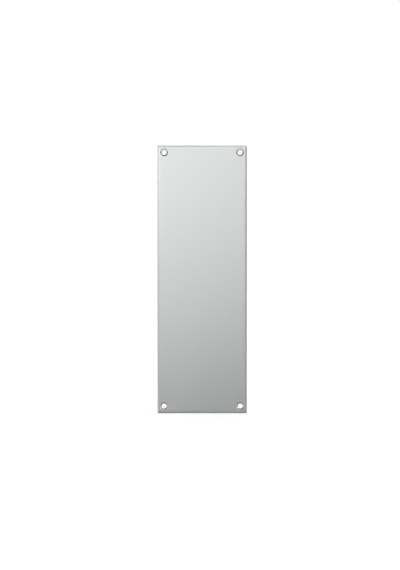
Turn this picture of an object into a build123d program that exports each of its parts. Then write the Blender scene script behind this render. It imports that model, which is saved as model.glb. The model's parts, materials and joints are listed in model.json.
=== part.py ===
from build123d import *
from math import radians, tan
import os

# A door's face plate: one flat sheet of satin anodised aluminium, taller than it is wide.
# Its front edges roll off softly, and a countersunk screw hole stands near each corner.
# The front faces -Y, the back lies on y = 0 against the door, and +Z runs up the long side.
# The origin is the centre of the back face. All sizes are in millimetres.

plate_length = 300.0
plate_width = 100.0
plate_thickness = 2.0

# The front edges roll off along a quarter of an ellipse, from this far in and down to this depth.
edge_reach = 2.5
edge_drop = 1.3

# The four corners are rounded a little in plan.
plan_corner_radius = 0.8

# The spacings are from hole centre to hole centre.
hole_spacing_across = 85.0
hole_spacing_along = 284.0

# Each hole lets a wood screw through, under a cone for its head whose rim is a little softened.
screw_hole_diameter = 5.8
countersink_diameter = 8.6
countersink_angle = 82.0
countersink_rim_radius = 0.6

# The cutting tools reach this far past the faces that they cut.
tool_overrun = 1.0


def half_section(width):
    """The right half of a bar's front edge and side: a quarter ellipse, then an upright side."""
    centre = (width / 2 - edge_reach, edge_drop - plate_thickness)
    roll_off = EllipticalCenterArc(centre, edge_reach, edge_drop, start_angle=-90, arc_size=90)
    return roll_off + Line(roll_off @ 1, (width / 2, 0))


def rounded_bar(width, length):
    """A bar as thick as the plate, along Z, with its back on y = 0 and its front edges rolled off."""
    right = half_section(width)
    left = mirror(right, Plane.YZ)
    front = Line(left @ 0, right @ 0)
    back = Line(left @ 1, right @ 1)
    section = make_face(right + left + front + back)
    return extrude(section, amount=length / 2, both=True)


def corner_cutter(side, end):
    """What rounding takes off one corner in plan: a square post less the round post inside it."""
    centre_x = side * (plate_width / 2 - plan_corner_radius)
    centre_z = end * (plate_length / 2 - plan_corner_radius)
    square = plan_corner_radius + tool_overrun
    height = 2 * (plate_thickness + tool_overrun)
    square_post = Pos(side * square / 2, 0, end * square / 2) * Box(square, height, square)
    round_post = Rot(90, 0, 0) * Cylinder(plan_corner_radius, height + tool_overrun)
    return Pos(centre_x, 0, centre_z) * (square_post - round_post)


def blank():
    """The undrilled sheet: an upright bar crossed with a lying one, so all four edges roll off."""
    upright_bar = rounded_bar(plate_width, plate_length)
    lying_bar = Rot(0, 90, 0) * rounded_bar(plate_length, plate_width)
    sheet = upright_bar & lying_bar
    for side in (-1, 1):
        for end in (-1, 1):
            sheet = sheet - corner_cutter(side, end)
    return sheet


def screw_hole_tool():
    """The cutter for one hole, pointing out of the front: a clearance drill under a cone."""
    hole_radius = screw_hole_diameter / 2
    cone_slope = tan(radians(countersink_angle / 2))
    cone_depth = (countersink_diameter / 2 - hole_radius) / cone_slope
    cone_height = cone_depth + tool_overrun
    cone_top_radius = hole_radius + cone_height * cone_slope
    drill = Cylinder(hole_radius, plate_thickness + 2 * tool_overrun)
    cone_middle = plate_thickness / 2 + tool_overrun - cone_height / 2
    cone = Pos(0, 0, cone_middle) * Cone(hole_radius, cone_top_radius, cone_height)
    front_facing = Pos(0, -plate_thickness / 2, 0) * Rot(90, 0, 0)
    return front_facing * (drill + cone)


def hole_places():
    """The centres of the four screw holes."""
    half_across = hole_spacing_across / 2
    half_along = hole_spacing_along / 2
    return [Pos(side * half_across, 0, end * half_along) for side in (-1, 1) for end in (-1, 1)]


def drilled(sheet):
    """The sheet with its screw holes cut, and the rim of each countersink softened."""
    for place in hole_places():
        sheet = sheet - place * screw_hole_tool()
    front_face = sheet.faces().filter_by(Axis.Y).sort_by(Axis.Y)[0]
    rims = front_face.edges().filter_by(GeomType.CIRCLE)
    return fillet(rims, countersink_rim_radius)


plate = drilled(blank())

os.makedirs("parts", exist_ok=True)
export_step(plate, "parts/plate.step")
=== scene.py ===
import json
import math

import bmesh
import bpy
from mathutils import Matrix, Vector


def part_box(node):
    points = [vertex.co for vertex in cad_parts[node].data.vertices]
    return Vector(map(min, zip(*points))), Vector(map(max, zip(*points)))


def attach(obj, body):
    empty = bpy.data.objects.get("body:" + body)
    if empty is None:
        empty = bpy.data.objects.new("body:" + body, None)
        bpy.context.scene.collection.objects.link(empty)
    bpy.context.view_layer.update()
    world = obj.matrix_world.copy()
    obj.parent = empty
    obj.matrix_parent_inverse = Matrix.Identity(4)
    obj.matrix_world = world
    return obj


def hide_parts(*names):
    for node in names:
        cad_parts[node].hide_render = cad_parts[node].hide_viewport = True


# A satin anodised aluminium face plate for a door: one sheet with rolled-off front edges and
# a countersunk screw hole near each corner. Everything is in metres in the CAD frame: the
# front faces -Y, +Z runs up the plate, and azimuths are positive rightwards off the front.

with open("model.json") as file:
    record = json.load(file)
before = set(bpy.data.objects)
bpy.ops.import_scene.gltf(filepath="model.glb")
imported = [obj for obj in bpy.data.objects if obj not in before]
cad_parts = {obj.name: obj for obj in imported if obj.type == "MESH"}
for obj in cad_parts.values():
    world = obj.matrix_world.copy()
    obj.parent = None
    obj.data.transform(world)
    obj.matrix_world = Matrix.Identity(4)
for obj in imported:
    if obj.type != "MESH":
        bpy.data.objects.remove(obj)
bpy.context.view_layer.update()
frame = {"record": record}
plate_low, plate_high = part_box("plate")
mounts = {mount["name"]: mount for mount in frame["record"]["mounts"]}

MM = 0.001

# The shape, as the CAD source has it.
front_edge_reach = 2.5 * MM
front_edge_drop = 1.3 * MM
plan_corner_radius = 0.8 * MM
countersink_radius = 4.3 * MM
countersink_half_angle = math.radians(41)
countersink_rim_radius = 0.6 * MM

half_width = plate_high.x
half_length = plate_high.z
front_y = plate_low.y
back_y = plate_high.y
flat_x = half_width - front_edge_reach
flat_z = half_length - front_edge_reach

hole_dims = mounts["screw_holes"]["dims"]
hole_x = hole_dims["spacing_x_mm"] * MM / 2
hole_z = hole_dims["spacing_y_mm"] * MM / 2
hole_radius = hole_dims["hole_r_mm"] * MM

# How finely the plate's mesh is divided. Each hole sits in a nearly square patch of its own.
steps_per_patch_side = 16
rings_round_hole = 3
edge_steps = 10
rim_steps = 5
corner_steps = 4
middle_steps_across = 14
middle_steps_along = 48
smooth_angle = math.radians(30)
weld_distance = 0.001 * MM

# The plate's finishes, as the numbers of its material slots.
face_finish = 0
cut_finish = 1
back_finish = 2

# The camera looks straight at the front from afar. The plate stands a little right of the
# picture's centre and a little above it, and the picture is this many plate lengths tall.
# The sensor, in millimetres, spans the picture's height.
camera_distance = 2.0
camera_sensor = 36
picture_height = 2.129 * 2 * half_length
plate_right_of_centre = 0.024 * 2 * half_width
plate_above_centre = 0.0213 * 2 * half_length

# The levels of all the lights, the room and the wall come from a separate program, which fitted
# them to the brightness of a photograph of such a plate. So were the first directions and sizes of
# the key light and of some lamps. All of them were rounded or moved afterwards.

# Round softboxes, slightly cool: each has its azimuth and elevation in degrees, its distance in
# metres, its angular radius in degrees and its level.
softboxes = {
    "key_light": (-5.5, 7.3, 3.0, 13.2, 1.05),
    "left_front_light": (-21, 14, 1.0, 10, 0.65),
    "left_light": (-60, 16, 1.0, 14, 1.45),
}
softbox_colour = (0.975, 1.0, 1.0)

# What else the metal reflects, slightly warm. The room in front is dim: it starts past the
# camera and ends before the sides, at these angles off the front. A paler wall stands behind
# and darkens towards its foot. Each lamp has its azimuth, elevation, angular radius and level,
# and its rim is soft between these shares of its radius.
room_colour = (1.0, 0.995, 0.985)
room_level = 0.12
room_starts = (14, 24)
room_ends = (85, 72)
wall_level = 0.95
wall_starts = (104, 123)
wall_foot_share = 0.45
wall_foot_elevations = (-36, 0)
lamp_rim = (1.2, 0.5)
soft_lamps = {
    "upper_left": (-17, 15, 11, 1.7),
    "upper_right": (17, 15, 11, 3.0),
    "overhead": (18, 60, 15, 3.2),
    "left_fill": (-40, 0, 20, 0.3),
    "lower_left_fill": (-45, -25, 24, 0.45),
    "right_fill": (28, 0, 11, 0.55),
    "below": (0, -33, 10, 1.4),
    "left_side": (-85, -15, 17, 1.1),
    "right_side": (86, 25, 10, 7.4),
    "right_side_high": (76, 44, 13, 3.4),
    "right_side_low": (88, -5, 12, 0.4),
}

# The backdrop and the floor, which are white to the eye.
backdrop_level = 1.02
floor_size = 60
floor_paleness = 0.9
floor_roughness = 0.9
floor_glow = 0.42


class Shell:
    """A mesh under construction: corners at the same place are one vertex."""

    def __init__(self):
        self.bm = bmesh.new()
        self.known = {}

    def corner(self, place):
        key = tuple(round(value / weld_distance) for value in place)
        if key not in self.known:
            self.known[key] = self.bm.verts.new(place)
        return self.known[key]

    def face(self, places, finish=face_finish):
        """A face round these places. Neighbours that coincide are taken as one corner."""
        corners = []
        for place in places:
            corner = self.corner(place)
            if corner not in corners:
                corners.append(corner)
        if len(corners) > 2:
            self.bm.faces.new(corners).material_index = finish

    def bands(self, rows, finish=face_finish):
        """Faces between closed rows of places, each row to the next."""
        for inner, outer in zip(rows, rows[1:]):
            for index in range(len(inner)):
                after = (index + 1) % len(inner)
                self.face((inner[index], inner[after], outer[after], outer[index]), finish)

    def piece(self, name):
        """The finished mesh as an object of this name."""
        bmesh.ops.recalc_face_normals(self.bm, faces=self.bm.faces)
        mesh = bpy.data.meshes.new(name)
        self.bm.to_mesh(mesh)
        self.bm.free()
        made = bpy.data.objects.new(name, mesh)
        bpy.context.scene.collection.objects.link(made)
        return made


def spread(start, end, steps):
    """Evenly spaced values from start to end, both included."""
    return [start + (end - start) * step / steps for step in range(steps + 1)]


def joined(*runs):
    """Runs of breaks end to end, each starting where the last one stopped."""
    breaks = list(runs[0])
    for run in runs[1:]:
        breaks += run[1:]
    return breaks


def rectangle(x_breaks, z_breaks):
    """The places round a rectangle of the grid, from its lower left corner, by way of the right."""
    low_x, high_x = x_breaks[0], x_breaks[-1]
    low_z, high_z = z_breaks[0], z_breaks[-1]
    lower = [(x, low_z) for x in x_breaks[:-1]]
    right = [(high_x, z) for z in z_breaks[:-1]]
    upper = [(x, high_z) for x in reversed(x_breaks[1:])]
    left = [(low_x, z) for z in reversed(z_breaks[1:])]
    return lower + right + upper + left


def circle(centre, radius, count):
    """Places round a hole, in step with a rectangle's from its lower left corner."""
    lower_left = math.radians(-135)
    turns = [lower_left + math.tau * index / count for index in range(count)]
    return [(centre[0] + radius * math.cos(t), centre[1] + radius * math.sin(t)) for t in turns]


def at_depth(places, y):
    """Places on the plate's face, set at this depth."""
    return [(x, y, z) for x, z in places]


def between(inner, outer, share):
    """Places this share of the way from one row to another."""
    return [tuple(a + (b - a) * share for a, b in zip(p, q)) for p, q in zip(inner, outer)]


def hole_profile():
    """Radius and depth down a countersunk hole: the softened rim, the cone and the land."""
    half_turn = (math.pi / 2 - countersink_half_angle) / 2
    rim_start = countersink_radius + countersink_rim_radius * math.tan(half_turn)
    profile = []
    for turn in spread(0, 2 * half_turn, rim_steps):
        radius = rim_start - countersink_rim_radius * math.sin(turn)
        profile.append((radius, front_y + countersink_rim_radius * (1 - math.cos(turn))))
    cone_depth = (countersink_radius - hole_radius) / math.tan(countersink_half_angle)
    profile.append((hole_radius, front_y + cone_depth))
    profile.append((hole_radius, back_y))
    return profile


def add_hole(shell, centre, x_breaks, z_breaks):
    """One hole, with the patch of the front round it and the patch of the back behind it."""
    outer = rectangle(x_breaks, z_breaks)
    profile = hole_profile()
    wall = [at_depth(circle(centre, radius, len(outer)), y) for radius, y in profile]
    mouth = circle(centre, profile[0][0], len(outer))
    exit_edge = circle(centre, hole_radius, len(outer))
    shares = spread(0, 1, rings_round_hole)
    shell.bands([at_depth(between(outer, mouth, share), front_y) for share in shares])
    shell.bands(wall[: rim_steps + 1])
    shell.bands(wall[rim_steps:], cut_finish)
    back_rows = [at_depth(between(exit_edge, outer, share), back_y) for share in shares]
    shell.bands(back_rows, back_finish)


def grown_outline(x_breaks, z_breaks, growth):
    """The front's flat grown outwards, with corners that round off in step with the growth."""
    radius = plan_corner_radius * growth / front_edge_reach
    corner_x = flat_x + growth - radius
    corner_z = flat_z + growth - radius

    def corner(side_x, side_z, first):
        turns = spread(first, first + math.pi / 2, corner_steps)
        return [
            (side_x * corner_x + radius * math.cos(t), side_z * corner_z + radius * math.sin(t))
            for t in turns
        ]

    lower = [(x, -flat_z - growth) for x in x_breaks[1:-1]]
    right = [(flat_x + growth, z) for z in z_breaks[1:-1]]
    upper = [(x, flat_z + growth) for x in reversed(x_breaks[1:-1])]
    left = [(-flat_x - growth, z) for z in reversed(z_breaks[1:-1])]
    return (
        lower + corner(1, -1, -math.pi / 2)
        + right + corner(1, 1, 0)
        + upper + corner(-1, 1, math.pi / 2)
        + left + corner(-1, -1, math.pi)
    )


def add_edges(shell, x_breaks, z_breaks):
    """The rounded front edges, the narrow sides and the back's border."""
    rows = []
    for turn in spread(0, math.pi / 2, edge_steps):
        growth = front_edge_reach * math.sin(turn)
        y = front_y + front_edge_drop * (1 - math.cos(turn))
        rows.append(at_depth(grown_outline(x_breaks, z_breaks, growth), y))
    back_edge = at_depth(grown_outline(x_breaks, z_breaks, front_edge_reach), back_y)
    back_border = at_depth(grown_outline(x_breaks, z_breaks, 0), back_y)
    shell.bands(rows + [back_edge])
    shell.bands([back_edge, back_border], back_finish)


def add_flats(shell, x_breaks, z_breaks):
    """The front and back away from the patches that hold the holes."""
    last_x = len(x_breaks) - 1 - steps_per_patch_side
    last_z = len(z_breaks) - 1 - steps_per_patch_side
    for column in range(len(x_breaks) - 1):
        for row in range(len(z_breaks) - 1):
            beside = column < steps_per_patch_side or column >= last_x
            at_end = row < steps_per_patch_side or row >= last_z
            if beside and at_end:
                continue
            x0, x1 = x_breaks[column : column + 2]
            z0, z1 = z_breaks[row : row + 2]
            cell = [(x0, z0), (x1, z0), (x1, z1), (x0, z1)]
            shell.face(at_depth(cell, front_y))
            shell.face(at_depth(cell, back_y), back_finish)


def make_plate():
    """The whole plate as one closed mesh, with crisp edges at the back and smooth ones in front."""
    patch_half = flat_x - hole_x
    inner_x = hole_x - patch_half
    inner_z = hole_z - patch_half
    low_x = spread(-flat_x, -inner_x, steps_per_patch_side)
    high_x = spread(inner_x, flat_x, steps_per_patch_side)
    low_z = spread(-flat_z, -inner_z, steps_per_patch_side)
    high_z = spread(inner_z, flat_z, steps_per_patch_side)
    x_breaks = joined(low_x, spread(-inner_x, inner_x, middle_steps_across), high_x)
    z_breaks = joined(low_z, spread(-inner_z, inner_z, middle_steps_along), high_z)

    shell = Shell()
    add_flats(shell, x_breaks, z_breaks)
    for centre_x, patch_x in ((-hole_x, low_x), (hole_x, high_x)):
        for centre_z, patch_z in ((-hole_z, low_z), (hole_z, high_z)):
            add_hole(shell, (centre_x, centre_z), patch_x, patch_z)
    add_edges(shell, x_breaks, z_breaks)
    made = shell.piece("satin_plate")
    for polygon in made.data.polygons:
        polygon.use_smooth = True
    made.data.set_sharp_from_angle(angle=smooth_angle)
    weighting = made.modifiers.new("weighted_normals", "WEIGHTED_NORMAL")
    weighting.keep_sharp = True
    return made


class Metal:
    """A metal's shader, with the noises that vary it. They lie in the plate's own space."""

    def __init__(self, name):
        self.material = bpy.data.materials.new(name)
        self.material.use_nodes = True
        self.nodes = self.material.node_tree.nodes
        self.link = self.material.node_tree.links.new
        self.shader = self.nodes["Principled BSDF"]
        self.shader.inputs["Metallic"].default_value = 1.0
        self.place = self.nodes.new("ShaderNodeTexCoord").outputs["Object"]

    def noise(self, per_metre, detail):
        """Noise with this many features to the metre along each axis."""
        mapping = self.nodes.new("ShaderNodeMapping")
        mapping.inputs["Scale"].default_value = per_metre
        self.link(self.place, mapping.inputs["Vector"])
        texture = self.nodes.new("ShaderNodeTexNoise")
        texture.inputs["Scale"].default_value = 1.0
        texture.inputs["Detail"].default_value = detail
        self.link(mapping.outputs["Vector"], texture.inputs["Vector"])
        return texture.outputs["Fac"]

    def ranged(self, value, low, high):
        """The noise's usual spread, stretched to run from low to high."""
        node = self.nodes.new("ShaderNodeMapRange")
        node.inputs["From Min"].default_value = 0.25
        node.inputs["From Max"].default_value = 0.75
        node.inputs["To Min"].default_value = low
        node.inputs["To Max"].default_value = high
        self.link(value, node.inputs["Value"])
        return node.outputs["Result"]

    def tones(self, share, first, second):
        """The metal's colour, which varies between two tones."""
        mix = self.nodes.new("ShaderNodeMix")
        mix.data_type = "RGBA"
        mix.inputs["A"].default_value = (*first, 1)
        mix.inputs["B"].default_value = (*second, 1)
        self.link(share, mix.inputs["Factor"])
        self.link(mix.outputs["Result"], self.shader.inputs["Base Color"])

    def roughness(self, *shares):
        """The roughness is the sum of two varying shares."""
        total = self.nodes.new("ShaderNodeMath")
        total.operation = "ADD"
        for socket, share in zip(total.inputs, shares):
            self.link(share, socket)
        self.link(total.outputs["Value"], self.shader.inputs["Roughness"])

    def bumps(self, height, strength, distance):
        """A relief too fine to be geometry."""
        bump = self.nodes.new("ShaderNodeBump")
        bump.inputs["Strength"].default_value = strength
        bump.inputs["Distance"].default_value = distance
        self.link(height, bump.inputs["Height"])
        self.link(bump.outputs["Normal"], self.shader.inputs["Normal"])


def satin_aluminium():
    """Satin anodised aluminium: a soft metal sheen with a very fine lengthwise grain."""
    metal = Metal("satin_anodised_aluminium")
    grain = metal.noise((5200, 5200, 60), 3)
    clouds = metal.noise((14, 14, 9), 2)
    metal.tones(clouds, (0.742, 0.757, 0.747), (0.771, 0.782, 0.772))
    metal.roughness(metal.ranged(clouds, 0.30, 0.32), metal.ranged(grain, -0.015, 0.015))
    metal.bumps(grain, 0.25, 0.004 * MM)
    return metal.material


def cut_aluminium():
    """The anodised wall of a countersink: smoother, with the fine rings that the cutter left."""
    metal = Metal("cut_anodised_aluminium")
    rings = metal.noise((300, 9000, 300), 2)
    stains = metal.noise((260, 260, 260), 2)
    metal.tones(stains, (0.72, 0.742, 0.735), (0.77, 0.787, 0.779))
    metal.roughness(metal.ranged(stains, 0.19, 0.22), metal.ranged(rings, -0.02, 0.02))
    metal.bumps(rings, 0.2, 0.004 * MM)
    return metal.material


def rolled_aluminium():
    """The plain back: a little duller, with faint lengthwise streaks from the rolling."""
    metal = Metal("rolled_anodised_aluminium")
    streaks = metal.noise((420, 420, 5), 4)
    clouds = metal.noise((20, 20, 12), 2)
    metal.tones(streaks, (0.69, 0.71, 0.703), (0.79, 0.807, 0.799))
    metal.roughness(metal.ranged(clouds, 0.32, 0.37), metal.ranged(streaks, -0.03, 0.03))
    metal.bumps(streaks, 0.3, 0.01 * MM)
    return metal.material


def pale_floor():
    """A white floor at the plate's foot. Neither its light nor its shadow falls on the metal."""
    material = bpy.data.materials.new("pale_floor")
    material.use_nodes = True
    shader = material.node_tree.nodes["Principled BSDF"]
    paleness = [floor_paleness] * 3
    shader.inputs["Base Color"].default_value = (*paleness, 1)
    shader.inputs["Roughness"].default_value = floor_roughness
    shader.inputs["Emission Color"].default_value = (1, 1, 1, 1)
    shader.inputs["Emission Strength"].default_value = floor_glow
    bpy.ops.mesh.primitive_plane_add(size=floor_size, location=(0, 0, plate_low.z))
    floor = bpy.context.active_object
    floor.name = "floor"
    floor.data.materials.append(material)
    floor.visible_glossy = False
    floor.visible_diffuse = False
    floor.visible_shadow = False
    return floor


def direction_from(azimuth, elevation):
    """The unit vector from the plate towards this azimuth and elevation, in degrees."""
    a = math.radians(azimuth)
    e = math.radians(elevation)
    return Vector((math.sin(a) * math.cos(e), -math.cos(a) * math.cos(e), math.sin(e)))


def studio_world():
    """White to the eye. What the metal reflects is a dim room with soft lamps in it."""
    world = bpy.data.worlds.new("studio")
    bpy.context.scene.world = world
    world.use_nodes = True
    nodes = world.node_tree.nodes
    link = world.node_tree.links.new
    nodes.clear()

    direction = nodes.new("ShaderNodeTexCoord").outputs["Generated"]

    def along(axis):
        """How far the direction that is looked in points along this axis, from -1 to 1."""
        node = nodes.new("ShaderNodeVectorMath")
        node.operation = "DOT_PRODUCT"
        link(direction, node.inputs[0])
        node.inputs[1].default_value = axis
        return node.outputs["Value"]

    def ramp(value, start, end, high=1.0, low=0.0):
        """Goes smoothly from low to high as the value goes from start to end."""
        node = nodes.new("ShaderNodeMapRange")
        node.interpolation_type = "SMOOTHSTEP"
        node.inputs["From Min"].default_value = start
        node.inputs["From Max"].default_value = end
        node.inputs["To Min"].default_value = low
        node.inputs["To Max"].default_value = high
        link(value, node.inputs["Value"])
        return node.outputs["Result"]

    def combined(operation, first, second):
        node = nodes.new("ShaderNodeMath")
        node.operation = operation
        link(first, node.inputs[0])
        link(second, node.inputs[1])
        return node.outputs["Value"]

    def cosines(*angles):
        return [math.cos(math.radians(angle)) for angle in angles]

    def sines(*angles):
        return [math.sin(math.radians(angle)) for angle in angles]

    forwards = along((0, -1, 0))
    upwards = along((0, 0, 1))
    past_camera = ramp(forwards, *cosines(*room_starts))
    room = combined("MULTIPLY", past_camera, ramp(forwards, *cosines(*room_ends), room_level))
    shade = ramp(upwards, *sines(*wall_foot_elevations), low=wall_foot_share)
    wall = combined("MULTIPLY", shade, ramp(forwards, *cosines(*wall_starts), wall_level))
    light = combined("ADD", room, wall)
    for azimuth, elevation, radius, level in soft_lamps.values():
        towards = along(direction_from(azimuth, elevation))
        rim = cosines(*(share * radius for share in lamp_rim))
        light = combined("ADD", light, ramp(towards, *rim, level))

    reflected = nodes.new("ShaderNodeBackground")
    reflected.inputs["Color"].default_value = (*room_colour, 1)
    link(light, reflected.inputs["Strength"])
    backdrop = nodes.new("ShaderNodeBackground")
    backdrop.inputs["Color"].default_value = (1, 1, 1, 1)
    backdrop.inputs["Strength"].default_value = backdrop_level
    sight = nodes.new("ShaderNodeLightPath")
    mix = nodes.new("ShaderNodeMixShader")
    output = nodes.new("ShaderNodeOutputWorld")
    link(sight.outputs["Is Camera Ray"], mix.inputs["Fac"])
    link(reflected.outputs["Background"], mix.inputs[1])
    link(backdrop.outputs["Background"], mix.inputs[2])
    link(mix.outputs["Shader"], output.inputs["Surface"])


def add_softbox(name, azimuth, elevation, distance, angular_radius, level):
    """A round light that faces the plate, is even over its disc and isn't seen itself.

    Its power grows with its area, so that its level alone sets how bright the disc is.
    """
    radius = distance * math.tan(math.radians(angular_radius))
    area = math.pi * radius * radius
    data = bpy.data.lights.new(name, "AREA")
    data.shape = "DISK"
    data.size = 2 * radius
    data.energy = level * area * math.pi
    data.color = softbox_colour
    light = bpy.data.objects.new(name, data)
    towards = direction_from(azimuth, elevation)
    light.location = towards * distance
    light.rotation_euler = towards.to_track_quat("Z", "Y").to_euler()
    light.visible_camera = False
    bpy.context.scene.collection.objects.link(light)


def add_camera():
    """The camera, level and square to the front."""
    data = bpy.data.cameras.new("camera")
    data.sensor_width = camera_sensor
    data.lens = camera_sensor * camera_distance / picture_height
    camera = bpy.data.objects.new("camera", data)
    camera.location = (-plate_right_of_centre, -camera_distance, -plate_above_centre)
    camera.rotation_euler = (math.radians(90), 0, 0)
    bpy.context.scene.collection.objects.link(camera)
    bpy.context.scene.camera = camera


plate = make_plate()
for metal in (satin_aluminium(), cut_aluminium(), rolled_aluminium()):
    plate.data.materials.append(metal)
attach(plate, "root")
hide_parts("plate")

pale_floor()
studio_world()
for name, setting in softboxes.items():
    add_softbox(name, *setting)
add_camera()
bpy.context.scene.view_settings.view_transform = "Standard"
